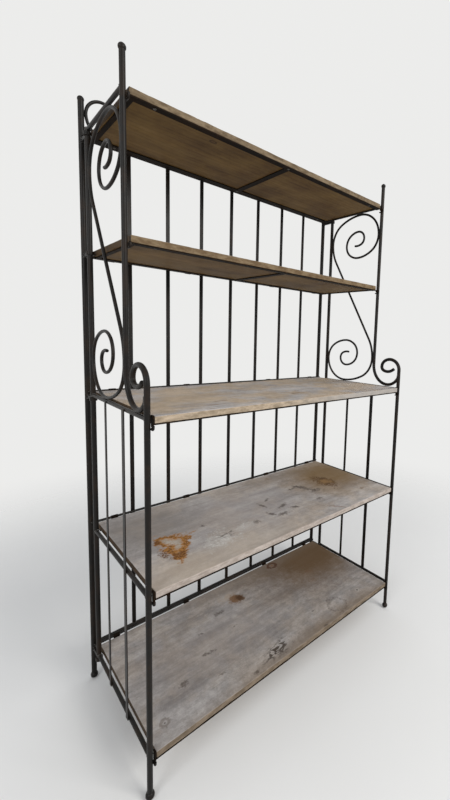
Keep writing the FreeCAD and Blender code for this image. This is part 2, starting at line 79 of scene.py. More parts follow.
def add_camera():
    """A view from the front left, a little down and rolled, with the lens shifted to frame the rack."""
    ahead = Vector((
        math.sin(CAMERA_YAW) * math.cos(CAMERA_PITCH),
        math.cos(CAMERA_YAW) * math.cos(CAMERA_PITCH),
        math.sin(CAMERA_PITCH)))
    level = Vector((math.cos(CAMERA_YAW), -math.sin(CAMERA_YAW), 0))
    upward = level.cross(ahead)
    right = math.cos(CAMERA_ROLL) * level + math.sin(CAMERA_ROLL) * upward
    up = math.cos(CAMERA_ROLL) * upward - math.sin(CAMERA_ROLL) * level
    data = bpy.data.cameras.new("camera")
    data.sensor_fit = "HORIZONTAL"
    data.sensor_width = SENSOR_WIDTH
    data.lens = FOCAL_PIXELS / PICTURE_WIDTH * SENSOR_WIDTH
    data.shift_x = (PICTURE_WIDTH / 2 - CENTRE_X) / PICTURE_WIDTH
    data.shift_y = (CENTRE_Y - PICTURE_HEIGHT / 2) / PICTURE_WIDTH
    data.clip_start = NEAREST_SEEN
    camera = bpy.data.objects.new("camera", data)
    turn = Matrix((right, up, -ahead)).transposed()
    camera.matrix_world = Matrix.Translation(CAMERA_PLACE) @ turn.to_4x4()
    bpy.context.scene.collection.objects.link(camera)
    bpy.context.scene.camera = camera


class Field:
    """A value over a surface, kept as a socket of a node tree, that can be reckoned with."""

    def __init__(self, tree, value):
        self.tree = tree
        self.value = value

    def math(self, operation, *others):
        """The field put through a math node, with other fields or numbers."""
        node = self.tree.nodes.new("ShaderNodeMath")
        node.operation = operation
        for socket, item in zip(node.inputs, (self, *others)):
            feed(self.tree, socket, item)
        return Field(self.tree, node.outputs[0])

    def __add__(self, other):
        return self.math("ADD", other)

    def __sub__(self, other):
        return self.math("SUBTRACT", other)

    def __mul__(self, other):
        return self.math("MULTIPLY", other)

    def __truediv__(self, other):
        return self.math("DIVIDE", other)

    def __pow__(self, other):
        return self.math("POWER", other)

    def abs(self):
        return self.math("ABSOLUTE")

    def sin(self):
        return self.math("SINE")

    def max(self, other):
        return self.math("MAXIMUM", other)

    def step(self, low, high):
        """0 at low and 1 at high, smooth between and level beyond them; low may be the larger."""
        node = self.tree.nodes.new("ShaderNodeMapRange")
        node.interpolation_type = "SMOOTHSTEP"
        low_first = low < high
        feed(self.tree, node.inputs["Value"], self)
        node.inputs["From Min"].default_value = min(low, high)
        node.inputs["From Max"].default_value = max(low, high)
        node.inputs["To Min"].default_value = 0 if low_first else 1
        node.inputs["To Max"].default_value = 1 if low_first else 0
        return Field(self.tree, node.outputs["Result"])


def feed(tree, socket, item):
    """Put a field, a colour or a number into a socket."""
    if isinstance(item, Field):
        tree.links.new(item.value, socket)
    elif isinstance(item, tuple):
        socket.default_value = item if len(item) == len(socket.default_value) else (*item, 1)
    else:
        socket.default_value = item


# Places of the colour sockets on a mix node
MIX_FIRST, MIX_SECOND, MIX_RESULT = 6, 7, 2


class Finish:
    """A material that is written as fields over the object's own coordinates."""

    def __init__(self, name):
        self.material = bpy.data.materials.new(name)
        self.material.use_nodes = True
        self.tree = self.material.node_tree
        self.shader = self.tree.nodes["Principled BSDF"]
        coordinates = self.tree.nodes.new("ShaderNodeTexCoord")
        self.place = Field(self.tree, coordinates.outputs["Object"])
        self.facing = Field(self.tree, coordinates.outputs["Normal"])

    def axes(self, vector):
        """The three parts of a vector."""
        node = self.tree.nodes.new("ShaderNodeSeparateXYZ")
        feed(self.tree, node.inputs[0], vector)
        return [Field(self.tree, output) for output in node.outputs]

    def vector(self, x, y, z):
        """A vector of three fields or numbers."""
        node = self.tree.nodes.new("ShaderNodeCombineXYZ")
        for socket, item in zip(node.inputs, (x, y, z)):
            feed(self.tree, socket, item)
        return Field(self.tree, node.outputs[0])

    def noise(self, where, scale, detail, roughness=0.55, distortion=0):
        """Smooth noise about one half."""
        node = self.tree.nodes.new("ShaderNodeTexNoise")
        feed(self.tree, node.inputs["Vector"], where)
        node.inputs["Scale"].default_value = scale
        node.inputs["Detail"].default_value = detail
        node.inputs["Roughness"].default_value = roughness
        node.inputs["Distortion"].default_value = distortion
        return Field(self.tree, node.outputs[0])

    def streaks(self, length, width, seed, detail, roughness=0.55):
        """Noise drawn out along X, like wood fibre: features of a given length and width."""
        x, y, z = self.axes(self.place)
        where = self.vector(x / length + seed, y / width, z / width)
        return self.noise(where, 1, detail=detail, roughness=roughness)

    def mix(self, amount, first, second):
        """Colours mixed by a field, from the first to the second."""
        node = self.tree.nodes.new("ShaderNodeMix")
        node.data_type = "RGBA"
        feed(self.tree, node.inputs[0], amount)
        feed(self.tree, node.inputs[MIX_FIRST], first)
        feed(self.tree, node.inputs[MIX_SECOND], second)
        return Field(self.tree, node.outputs[MIX_RESULT])

    def shade(self, colour, amount):
        """A colour made lighter or darker by a field about one."""
        node = self.tree.nodes.new("ShaderNodeVectorMath")
        node.operation = "SCALE"
        feed(self.tree, node.inputs[0], colour)
        feed(self.tree, node.inputs["Scale"], amount)
        return Field(self.tree, node.outputs[0])

    def set(self, **inputs):
        """Set the shader's sockets by name, with spaces written as underscores."""
        for name, item in inputs.items():
            feed(self.tree, self.shader.inputs[name.replace("_", " ")], item)

    def bump(self, height, depth):
        """Relief of a given depth from a field between 0 and 1."""
        node = self.tree.nodes.new("ShaderNodeBump")
        node.inputs["Strength"].default_value = 1
        node.inputs["Distance"].default_value = depth
        feed(self.tree, node.inputs["Height"], height)
        self.tree.links.new(node.outputs["Normal"], self.shader.inputs["Normal"])


# Depths of the finishes' relief
IRON_RELIEF, WELD_RELIEF, SCREW_RELIEF, BOARD_RELIEF = 0.45 * MM, 0.3 * MM, 0.1 * MM, 0.35 * MM


def iron_finish(name, dark, warm, bright, sheen, gloss):
    """Bronze-black coat over forged bar: faintly hammered, browned in patches, thin on the high spots."""
    finish = Finish(name)
    where = finish.place
    hammer = finish.noise(where, 120, detail=2)
    grain = finish.noise(where, 700, detail=3)
    cloud = finish.noise(where, 19, detail=4, roughness=0.65)
    rubbed = finish.noise(where, 260, detail=5, roughness=0.7)
    colour = finish.mix(cloud.step(0.44, 0.64), dark, warm)
    high_spots = rubbed.step(0.58, 0.72) * hammer.step(0.48, 0.62)
    colour = finish.mix(high_spots * 0.5, colour, bright)
    finish.set(Base_Color=colour, Metallic=0.0, Roughness=cloud * 0.22 + grain * 0.08 + sheen)
    finish.set(Specular_IOR_Level=gloss)
    finish.bump(hammer * 0.8 + grain * 0.10 + rubbed * 0.10, IRON_RELIEF)
    return finish.material


def weld_finish():
    """Brushed-over weld metal: brighter on its ripples than the bars are."""
    finish = Finish("weld_metal")
    ripple = finish.noise(finish.place, 420, detail=4, roughness=0.6)
    colour = finish.mix(ripple.step(0.45, 0.65), (0.035, 0.031, 0.028), (0.20, 0.19, 0.18))
    finish.set(Base_Color=colour, Metallic=0.7, Roughness=ripple * 0.3 + 0.22)
    finish.bump(ripple, WELD_RELIEF)
    return finish.material


def screw_finish():
    """Dull, greyed steel on the screws under the shelves."""
    finish = Finish("dull_zinc")
    cloud = finish.noise(finish.place, 260, detail=4)
    colour = finish.mix(cloud.step(0.35, 0.7), (0.14, 0.135, 0.125), (0.07, 0.055, 0.042))
    finish.set(Base_Color=colour, Metallic=0.8, Roughness=cloud * 0.3 + 0.35)
    finish.bump(cloud, SCREW_RELIEF)
    return finish.material


# Marks on the boards: how far an oval's rim strays, as a share of its size
RIM_RAGGED, RIM_DRIFT = 2.2, 1.8
# How far a triangle's edge strays, in millimetres
EDGE_RAGGED, EDGE_DRIFT = 34, 70
# How much of that straying a wide zone has, and where it starts and is full, as shares of its size
ZONE_WANDER, ZONE_RIM, ZONE_CORE = 0.12, 1.25, 0.2
# The share of a ring's thickness that is at full strength
RING_CORE = 0.2
GRAIN_SEED = 7.3


class BoardFinish(Finish):
    """Weathered pine whose marks are placed in millimetres from the middle of the board's front edge."""

    def __init__(self, number, low, high):
        super().__init__(f"weathered_pine_{number}")
        self.number = number
        x, y, z = self.axes(self.place)
        self.across = (x - (low.x + high.x) / 2) / MM
        self.behind = (y - low.y) / MM
        self.ragged = self.noise(self.place, 120, detail=5, roughness=0.7) - 0.5
        self.drift = self.noise(self.place, 34, detail=2) - 0.5
        self.broken = self.noise(self.place, 210, detail=3, roughness=0.7).step(0.44, 0.56)
        contours = self.noise(self.vector(x * 0.45, y, z), 52, detail=2, distortion=0.6) - 0.5
        self.scratches = contours.abs().step(0.075, 0.030)
        self.lay_grain(number * GRAIN_SEED)

    def lay_grain(self, seed):
        """The fields of the wood itself, from its broad staves to its finest specks."""
        self.staves = self.streaks(2.2, 0.085, seed, detail=1)
        self.bands = self.streaks(0.30, 0.050, seed + 3, detail=4, roughness=0.62)
        self.chalk = self.streaks(0.034, 0.014, seed + 5, detail=6, roughness=0.7)
        self.fibre = self.streaks(0.030, 0.0022, seed + 8, detail=5, roughness=0.68)
        self.dashes = self.streaks(0.014, 0.0026, seed + 11, detail=2).step(0.66, 0.76)
        warp = self.streaks(0.42, 0.070, seed + 14, detail=3)
        self.rings = (self.behind * 0.30 + warp * 19).sin().step(0.2, 1.0)
        self.cloud = self.noise(self.place, 5.5 + self.number * 0.5, detail=5, roughness=0.62)
        self.mottle = self.noise(self.place, 60, detail=4, roughness=0.7)
        self.speck = self.noise(self.place, 330, detail=3, roughness=0.7)
        self.blotch = self.noise(self.place, 17, detail=5, roughness=0.72)

    def away(self, x, y, half_length, half_width, wander, turn=0):
        """How far out from a spot's middle: 0 there, 1 at its rim, which wanders."""
        cos, sin = math.cos(math.radians(turn)), math.sin(math.radians(turn))
        right, back = self.across - x, self.behind - y
        along = (right * cos + back * sin) / half_length
        aside = (back * cos - right * sin) / half_width
        stray = self.ragged * RIM_RAGGED + self.drift * RIM_DRIFT
        return (along * along + aside * aside) ** 0.5 + stray * wander

    def spot(self, x, y, half_length, half_width, softness, wander=1, turn=0):
        """1 inside an oval spot, fading out at its rim."""
        return self.away(x, y, half_length, half_width, wander, turn).step(1, 1 - softness)

    def ring(self, x, y, half_length, half_width, thickness, wander):
        """1 on the rim of an oval, fading over its thickness to both sides."""
        rim = self.away(x, y, half_length, half_width, wander) - 1
        return rim.abs().step(thickness, thickness * RING_CORE)

    def zone(self, x, y, half_length, half_width):
        """A wide, very soft patch of tone."""
        return self.away(x, y, half_length, half_width, ZONE_WANDER).step(ZONE_RIM, ZONE_CORE)

    def outside_triangle(self, corners):
        """Distance in millimetres out of a triangle, whose corners run clockwise, with a wandering edge."""
        far = None
        for (x0, y0), (x1, y1) in zip(corners, corners[1:] + corners[:1]):
            length = math.hypot(x1 - x0, y1 - y0)
            out_x, out_y = (y0 - y1) / length, (x1 - x0) / length
            edge = self.across * out_x + self.behind * out_y - (x0 * out_x + y0 * out_y)
            far = edge if far is None else far.max(edge)
        return far + self.ragged * EDGE_RAGGED + self.drift * EDGE_DRIFT


def marks_below_board_1(wood):
    """The knot and a few darker streaks that show on the underside of the top shelf."""
    dark = (0.040, 0.020, 0.008)
    yield wood.ring(-250, 48, 9, 7, 0.6, 0.5) * 0.8, dark
    yield wood.spot(-250, 48, 5, 4, 0.6, 0.4) * 0.8, (0.075, 0.028, 0.010)
    yield wood.spot(-180, 120, 70, 5, 1.0, 0.8) * 0.4, dark
    yield wood.spot(120, 90, 90, 6, 1.0, 0.8) * 0.4, dark


def marks_of_board_3(wood):
    """A brown streak in the middle and a few reddish marks on the third shelf."""
    brown, reddish = (0.15, 0.105, 0.065), (0.21, 0.13, 0.075)
    yield wood.zone(-330, 190, 260, 150) * 0.35, (0.44, 0.335, 0.225)
    yield wood.zone(120, 360, 420, 80) * 0.3, (0.30, 0.225, 0.15)
    yield wood.zone(380, 330, 160, 120) * 0.5, (0.22, 0.165, 0.105)
    yield wood.spot(41, 111, 60, 12, 1.0) * 0.75, brown
    yield wood.spot(70, 150, 40, 10, 1.0) * 0.5, brown
    yield wood.spot(-304, 62, 42, 7, 0.9) * 0.7, reddish
    yield wood.spot(-337, 16, 26, 7, 0.9) * 0.6, reddish
    yield wood.spot(-251, 104, 36, 8, 0.9) * 0.6, reddish
    yield wood.spot(-120, 240, 60, 8, 1.0) * 0.4, brown


def rust_of_board_4(wood):
    """The rusty outline that a wet pot left, with a pale middle and spatter beside it."""
    rust, deep_rust = (0.37, 0.165, 0.035), (0.125, 0.050, 0.014)
    rim = wood.outside_triangle([(-402, 230), (-308, 200), (-383, 106)])
    yield rim.step(14, -10) * 0.5, (0.40, 0.285, 0.17)
    yield (rim + 4).abs().step(19, 5) * 0.95, rust
    yield wood.spot(-369, 182, 22, 32, 1.0) * 0.95, (0.47, 0.42, 0.36)
    yield (rim + 2).abs().step(12, 3) * wood.broken * 0.9, deep_rust
    yield wood.spot(-413, 138, 30, 28, 0.9) * wood.broken * 0.95, deep_rust
    yield wood.spot(-381, 110, 28, 15, 0.7) * (wood.broken * 0.5 + 0.5), deep_rust
    yield wood.spot(-405, 214, 14, 20, 0.8, 0.8) * 0.75, deep_rust


def patches_of_board_4(wood):
    """The wide patches of the fourth shelf, with a burnt mark and drips at its right end."""
    yield wood.zone(400, 290, 260, 240) * 0.88, (0.190, 0.112, 0.036)
    yield wood.zone(-400, 330, 240, 170) * 0.7, (0.195, 0.175, 0.160)
    yield wood.zone(150, 400, 260, 60) * 0.4, (0.21, 0.165, 0.12)
    yield wood.spot(330, 232, 48, 62, 1.0) * 0.85, (0.24, 0.135, 0.050)
    yield wood.ring(330, 232, 26, 44, 0.7, 1.2) * (wood.broken * 0.7 + 0.3) * 0.95, (0.085, 0.040, 0.014)
    yield wood.spot(345, 262, 34, 12, 0.9) * 0.85, (0.085, 0.045, 0.018)
    yield wood.spot(322, 205, 16, 12, 0.8) * 0.8, (0.085, 0.045, 0.018)
    yield wood.spot(393, 82, 20, 9, 0.9) * 0.7, (0.14, 0.08, 0.04)


def marks_of_board_4(wood):
    """Rust left by a pot, wide patches, a chalky scuff and dark streaks on the fourth shelf."""
    dark = (0.080, 0.062, 0.052)
    yield wood.zone(-300, 30, 420, 90) * 0.6, (0.44, 0.365, 0.29)
    yield wood.zone(-120, 250, 320, 190) * 0.5, (0.375, 0.345, 0.335)
    yield from patches_of_board_4(wood)
    yield from rust_of_board_4(wood)
    for x, y, half_length, half_width, turn in (
            (207, 238, 62, 16, -62), (228, 190, 34, 18, 0), (-36, 146, 34, 11, -70), (-5, 117, 36, 13, 0),
            (-19, 210, 34, 8, -80), (-108, 127, 15, 13, 20), (187, 125, 18, 10, 0), (-254, 214, 11, 9, 0),
            (40, 168, 34, 9, 24), (62, 132, 26, 9, -30), (18, 238, 22, 8, 35), (170, 262, 30, 9, 12)):
        yield wood.spot(x, y, half_length, half_width, 0.9, 1.2, turn) * 0.75, dark
    chalky = wood.broken * 0.5 + 0.5
    yield wood.spot(-247, 107, 78, 56, 1.0, 1.2) * chalky * 0.95, (0.60, 0.58, 0.55)
    yield wood.spot(-165, 128, 56, 28, 1.0, 1.2) * chalky * 0.85, (0.58, 0.56, 0.53)
    yield wood.spot(-225, 118, 60, 34, 1.0, 1.0) * wood.scratches * 0.7, (0.12, 0.095, 0.08)
    yield wood.spot(-210, 130, 36, 6, 0.9, 1.3, 14) * 0.75, dark
    yield wood.spot(194, 22, 50, 5, 0.9, 1.2, -50) * 0.6, (0.19, 0.095, 0.055)
    yield wood.spot(152, 408, 30, 12, 1.0) * 0.5, (0.19, 0.12, 0.07)


def patches_and_painted_shade_of_board_5(wood):
    """The wide patches of the bottom shelf, brownest toward its right rear corner, partly its own brown and
    partly painted shade from the shelf above.
    """
    # Right rear corner: the wood's own brown together with painted shade from the shelf above
    yield wood.zone(380, 370, 380, 260) * 0.95, (0.112, 0.064, 0.027)
    yield wood.zone(40, 470, 480, 90) * 0.6, (0.17, 0.13, 0.095)
    yield wood.zone(120, 0, 560, 48) * 0.6, (0.165, 0.112, 0.064)
    yield wood.zone(-200, 210, 300, 130) * 0.3, (0.33, 0.29, 0.27)


def knots_of_board_5(wood):
    """A knot at the rear and a brown oval with a dark middle on the bottom shelf."""
    yield wood.ring(203, 422, 19, 17, 0.55, 0.5) * 0.9, (0.075, 0.032, 0.016)
    yield wood.spot(203, 422, 8, 8, 0.6, 0.3) * 0.8, (0.19, 0.09, 0.05)
    yield wood.spot(-56, 368, 46, 38, 0.8) * 0.7, (0.38, 0.31, 0.245)
    yield wood.spot(-39, 345, 34, 33, 0.5, 0.5) * 0.9, (0.165, 0.085, 0.038)
    yield wood.spot(-26, 342, 19, 27, 0.7, 0.6) * 0.92, (0.070, 0.034, 0.014)


def marks_of_board_5(wood):
    """Wide patches with painted shade at the right rear, knots, dark flecks, a faint ring and a patch of
    short cracks on the bottom shelf.
    """
    dark, pale = (0.080, 0.062, 0.050), (0.43, 0.40, 0.37)
    yield from patches_and_painted_shade_of_board_5(wood)
    yield from knots_of_board_5(wood)
    yield wood.spot(-130, 320, 24, 10, 0.9) * 0.7, dark
    yield wood.spot(-95, 266, 15, 12, 0.8) * 0.7, pale
    for x, y, half_length in (
            (-124, 225, 15), (-226, 271, 12), (-247, 182, 24), (-361, 127, 26), (-261, 84, 18),
            (-175, 18, 14), (127, 7, 14), (-16, 270, 12), (139, 90, 11)):
        yield wood.spot(x, y, half_length, half_length * 0.5, 0.9, 1.3) * 0.7, dark
    yield wood.spot(363, 54, 17, 16, 0.8) * 0.6, pale
    yield wood.spot(363, 54, 6, 6, 0.6, 0.4) * 0.9, dark
    yield wood.ring(237, 53, 38, 37, 0.16, 0.5) * (wood.broken * 0.6 + 0.3) * 0.7, dark
    yield wood.spot(290, 279, 38, 24, 1.0) * 0.4, (0.16, 0.09, 0.05)
    yield wood.spot(271, 223, 32, 18, 1.0) * 0.4, (0.16, 0.09, 0.05)
    yield wood.spot(-80, 40, 66, 26, 1.0, 0.9) * 0.35, pale
    yield wood.spot(-72, 42, 92, 34, 0.8, 0.5, 8) * wood.scratches * 0.95, (0.060, 0.045, 0.036)
    yield wood.ring(-448, 57, 12, 10, 0.6, 0.7) * 0.5, (0.12, 0.09, 0.068)
    yield wood.spot(-448, 57, 4, 4, 0.6, 0.4) * 0.7, dark


# For each shelf, from the top down: the marks on its top and its underside, how tan its clouds are, how light
# its top is (the bottom shelf's darkened as painted shade from the shelf above), and the darker and the
# lighter tone of its long edges
BOARD_MARKS = {3: marks_of_board_3, 4: marks_of_board_4, 5: marks_of_board_5}
MARKS_BELOW = {1: marks_below_board_1}
BOARD_TAN = {1: 0.7, 2: 0.7, 3: 0.75, 4: 0.30, 5: 0.22}
# The bottom shelf's lower level is painted shade from the shelf above it
BOARD_LEVEL_AND_SHADE = {1: 1.04, 2: 1.04, 3: 1.10, 4: 1.14, 5: 0.88}
EDGE_TONES = {
    1: ((0.105, 0.072, 0.040), (0.215, 0.160, 0.100)),
    2: ((0.115, 0.072, 0.036), (0.215, 0.155, 0.090)),
    3: ((0.25, 0.195, 0.135), (0.46, 0.365, 0.265)),
    4: ((0.30, 0.25, 0.215), (0.47, 0.41, 0.365)),
    5: ((0.125, 0.094, 0.064), (0.225, 0.175, 0.128)),
}
# The shelf whose long edges turn grey toward the right, and between which places across it they do
GREYED_EDGE, GREYED_FROM, GREYED_TO = 3, -180, 220
# Between which parts of a face's direction it goes over to the underside, to a long edge and to an end
UNDERSIDE_TURN, EDGE_TURN, END_TURN = (-0.35, -0.8), (0.55, 0.85), (0.5, 0.85)


def marked(wood, colour, marks_of):
    """The colour of a face with its board's marks over it, if the board has any there."""
    if wood.number in marks_of:
        for amount, stain in marks_of[wood.number](wood):
            colour = wood.mix(amount, colour, stain)
    return colour


def top_of_board(wood):
    """Cloudy greys and tans with soft rings, chalky streaks, short fibres and old stains."""
    grey, pale, tan = (0.250, 0.229, 0.220), (0.43, 0.405, 0.39), (0.40, 0.30, 0.195)
    top = wood.mix(wood.bands.step(0.26, 0.74), grey, pale)
    top = wood.mix(wood.cloud.step(0.40, 0.60) * BOARD_TAN[wood.number], top, tan)
    top = wood.mix(wood.chalk.step(0.50, 0.72) * 0.26, top, (0.50, 0.475, 0.45))
    # Lightness of each top, with painted shade darkening the bottom shelf
    top = wood.shade(top, (wood.staves * 0.24 + 0.88) * BOARD_LEVEL_AND_SHADE[wood.number])
    top = wood.shade(top, wood.rings * -0.05 + 1.02)
    top = wood.shade(top, wood.blotch.step(0.38, 0.62) * 0.20 + 0.90)
    top = wood.shade(top, wood.mottle * 0.7 + 0.65)
    top = wood.shade(top, wood.speck * 0.5 + 0.75)
    top = wood.shade(top, wood.fibre * 0.34 + 0.83)
    top = wood.shade(top, wood.dashes * -0.22 + 1)
    return marked(wood, top, BOARD_MARKS)


def underside_of_board(wood):
    """Brown wood that the light hasn't greyed."""
    under = wood.mix(wood.cloud.step(0.28, 0.72), (0.074, 0.036, 0.009), (0.160, 0.092, 0.026))
    under = wood.mix(wood.bands.step(0.40, 0.75) * 0.5, under, (0.175, 0.105, 0.036))
    under = wood.shade(under, wood.staves * 0.8 + 0.6)
    under = wood.shade(under, wood.rings * -0.16 + 1.03)
    under = wood.shade(under, wood.mottle * 0.4 + 0.8)
    under = wood.shade(under, wood.fibre * 0.5 + 0.75)
    return marked(wood, under, MARKS_BELOW)


def long_edge_of_board(wood):
    """The front and rear edges, in the tones of their own board."""
    edge = wood.mix(wood.chalk.step(0.35, 0.65), *EDGE_TONES[wood.number])
    if wood.number == GREYED_EDGE:
        edge = wood.mix(wood.across.step(GREYED_FROM, GREYED_TO) * 0.75, edge, (0.36, 0.345, 0.33))
    return wood.shade(edge, wood.fibre * 0.7 + 0.65)


def end_of_board(wood):
    """Dark end grain with its rings."""
    rings = (wood.behind * 1.1 + wood.cloud * 30).sin().step(-0.2, 1.0)
    return wood.mix(rings, (0.085, 0.052, 0.026), (0.045, 0.027, 0.014))


def board_finish(number, low, high):
    """Grey weathered pine, with a look of its own on the top, the underside, the long edges and the ends."""
    wood = BoardFinish(number, low, high)
    facing_x, facing_y, facing_z = wood.axes(wood.facing)
    colour = wood.mix(facing_z.step(*UNDERSIDE_TURN), top_of_board(wood), underside_of_board(wood))
    colour = wood.mix(facing_y.abs().step(*EDGE_TURN), colour, long_edge_of_board(wood))
    colour = wood.mix(facing_x.abs().step(*END_TURN), colour, end_of_board(wood))
    wood.set(Base_Color=colour, Roughness=wood.chalk * 0.2 + 0.56)
    wood.set(Specular_IOR_Level=0.12)
    relief = wood.fibre * 0.5 + wood.rings * -0.2 + wood.chalk * 0.3 + wood.dashes * -0.5 + 0.5
    wood.bump(relief, BOARD_RELIEF)
    return wood.material


# Boards: rounded cross-sections along X, each worn in from the solid's box by seeded noise.
# A _SIZE is the distance over which a kind of wear changes, and a _SEED keeps it apart from the other kinds
STATION_STEP = 6 * MM
ARRIS, ARRIS_WEAR, ARRIS_WEAR_SIZE = 1.3 * MM, 1.5 * MM, 0.05
ARC_STEPS = 4
END_ROUNDING = 1.6 * MM
END_FLAT_INSET = END_ROUNDING + 1 * MM
END_SHARES = (0, 0.15, 0.4, 0.7)
# Points inside a level and an upright run of a section, and how near its ends two more of them lie
LEVEL_POINTS, UPRIGHT_POINTS, SUPPORT = 26, 2, 0.08
EDGE_WANDER, EDGE_WANDER_SIZE, EDGE_SEED = 0.9 * MM, 0.16, 4
FACE_WANDER, FACE_WANDER_SIZE, FACE_SEED = 0.3 * MM, 0.03, 9
GRAIN_STRETCH = 3
# Knocks in the front top arris: how many, and their lengths and depths in millimetres
DENTS, DENT_LENGTHS, DENT_DEPTHS = 26, (3, 11), (0.4, 1.7)
WEAR_SEED = 5.1


def worn(place, size, depth, seed):
    """How far a place is worn in: between nothing and a depth, changing over a given size."""
    value = noise.noise(Vector(place) / size + Vector((seed, 0, 0)))
    return depth * min(1, max(0, 0.5 + value))


def dents_along(low, high, rng):
    """Small knocks in a long edge: where along it, how long and how deep."""
    return [(rng.uniform(low.x, high.x), rng.uniform(*DENT_LENGTHS) * MM, rng.uniform(*DENT_DEPTHS) * MM)
            for _ in range(DENTS)]


def dented(dents, x):
    """How deep the knocks are at one place along the edge."""
    return max((depth * max(0, 1 - ((x - at) / length) ** 2) for at, length, depth in dents), default=0)


def corner_arcs(low, high, x, inset, dents, seed):
    """The rounded corners of a board's section at x: front top, front below, rear below and rear top."""
    corners = ((low.y, high.z, 90), (low.y, low.z, 180), (high.y, low.z, 270), (high.y, high.z, 0))
    arcs = []
    for y, z, start in corners:
        radius = ARRIS + worn((x, y, z), ARRIS_WEAR_SIZE, ARRIS_WEAR, seed)
        if (y, z) == (low.y, high.z):
            radius += dented(dents, x)
        aim_y = 1 if y == low.y else -1
        aim_z = 1 if z == low.z else -1
        wander = worn((x, y, 0), EDGE_WANDER_SIZE, EDGE_WANDER, seed + EDGE_SEED)
        centre_y = y + aim_y * (radius + inset + wander)
        centre_z = z + aim_z * (radius + inset)
        turns = [math.radians(start + 90 * step / ARC_STEPS) for step in range(ARC_STEPS + 1)]
        arcs.append([(centre_y + radius * math.cos(t), centre_z + radius * math.sin(t)) for t in turns])
    return arcs


def section_points(low, high, x, inset, dents, seed):
    """Points round a board at x: front top arris first, then down the front, back below and up the rear."""
    arcs = corner_arcs(low, high, x, inset, dents, seed)
    points = []
    for place, (arc, following) in enumerate(zip(arcs, arcs[1:] + arcs[:1])):
        points += arc
        level = place % 2 == 1
        inner = LEVEL_POINTS if level else UPRIGHT_POINTS
        reach = SUPPORT / inner
        shares = [reach] + [(step + 1) / (inner + 1) for step in range(inner)] + [1 - reach]
        (y0, z0), (y1, z1) = arc[-1], following[0]
        for share in shares:
            y, z = y0 + share * (y1 - y0), z0 + share * (z1 - z0)
            if level:
                dip = worn((x / GRAIN_STRETCH, y, z), FACE_WANDER_SIZE, FACE_WANDER, seed + FACE_SEED)
                z += dip if z < (low.z + high.z) / 2 else -dip
            points.append((y, z))
    return [(x, y, z) for y, z in points]


def board_stations(low, high):
    """Places along X with the inset of each section: close together where the ends are rounded."""
    ends = []
    for share in END_SHARES:
        inset = END_ROUNDING * (1 - math.sqrt(1 - (1 - share) ** 2))
        ends.append((share * END_ROUNDING, inset))
    run = high.x - low.x - 2 * END_ROUNDING
    count = round(run / STATION_STEP)
    middle = [low.x + END_ROUNDING + run * step / count for step in range(count + 1)]
    left = [(low.x, END_FLAT_INSET)] + [(low.x + reach, inset) for reach, inset in ends]
    right = [(low.x + high.x - x, inset) for x, inset in reversed(left)]
    return left + [(x, 0) for x in middle] + right


def loft(name, rings):
    """A closed mesh through rings of equally many points, with a flat fan on each end."""
    shape = bmesh.new()
    rows = [[shape.verts.new(point) for point in ring] for ring in rings]
    for row, following in zip(rows, rows[1:]):
        for place in range(len(row)):
            beside = (place + 1) % len(row)
            shape.faces.new((row[place], row[beside], following[beside], following[place]))
    for row in (rows[0], rows[-1]):
        middle = shape.verts.new(sum((vertex.co for vertex in row), Vector()) / len(row))
        for place in range(len(row)):
            shape.faces.new((row[place], row[(place + 1) % len(row)], middle))
    bmesh.ops.recalc_face_normals(shape, faces=shape.faces)
    return mesh_object(name, shape)


def mesh_object(name, shape):
    """Turn a bmesh into a smooth object of the scene."""
    mesh = bpy.data.meshes.new(name)
    shape.to_mesh(mesh)
    shape.free()
    mesh.shade_smooth()
    made = bpy.data.objects.new(name, mesh)
    bpy.context.scene.collection.objects.link(made)
    return made


def dress(made, material, body, slot, *replaced):
    """Give a piece its finish and its body, and hide the solids it stands for; the slot argument is not used.
    """
    made.data.materials.append(material)
    if replaced:
        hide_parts(*replaced)
    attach(made, body)


def add_board(number):
    """One weathered board in place of its plain solid."""
    node = f"shelf_{number}_board"
    low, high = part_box(node)
    dents = dents_along(low, high, random.Random(number))
    stations = board_stations(low, high)
    rings = [section_points(low, high, x, inset, dents, number * WEAR_SEED) for x, inset in stations]
    board = loft(f"worn_board_{number}", rings)
    dress(board, board_finish(number, low, high), f"shelf_{number}", "weathered_pine", node)


# Points of a mesh that are nearer than this are one point
SAME_POINT = 1e-6


def solids_of(node):
    """A node's mesh as a bmesh, and the vertices of each of its separate solids."""
    whole = bmesh.new()
    whole.from_mesh(frame["nodes"][node].data)
    bmesh.ops.remove_doubles(whole, verts=whole.verts, dist=SAME_POINT)
    seen, parts = set(), []
    for first in whole.verts:
        if first in seen:
            continue
        seen.add(first)
        island, waiting = [first], [first]
        while waiting:
            vertex = waiting.pop()
            for edge in vertex.link_edges:
                other = edge.other_vert(vertex)
                if other not in seen:
                    seen.add(other)
                    island.append(other)
                    waiting.append(other)
        parts.append(island)
    return whole, parts


def box_of(points):
    """The low and the high corner of the box round some points."""
    low = Vector([min(point[axis] for point in points) for axis in range(3)])
    high = Vector([max(point[axis] for point in points) for axis in range(3)])
    return low, high


# Pan heads of the shelf screws: the rings and the cross recess, in shares of the head's radius and height
HEAD_SEGMENTS = 32
HEAD_PROFILE = (
    (1.0, 0.0), (1.0, 0.28), (0.95, 0.52), (0.82, 0.75), (0.60, 0.92), (0.30, 0.99),
    (0.22, 1.0), (0.15, 1.0), (0.08, 1.0))
RECESS_REACH, RECESS_WIDTH, RECESS_DEPTH = 0.62, 0.14, 0.75
SCREW_SEED = 100
# How much of a screw's lower end is surely its head, and the thickness of the bar above it
HEAD_RIM, FLAT_BAR = 1 * MM, 3 * MM


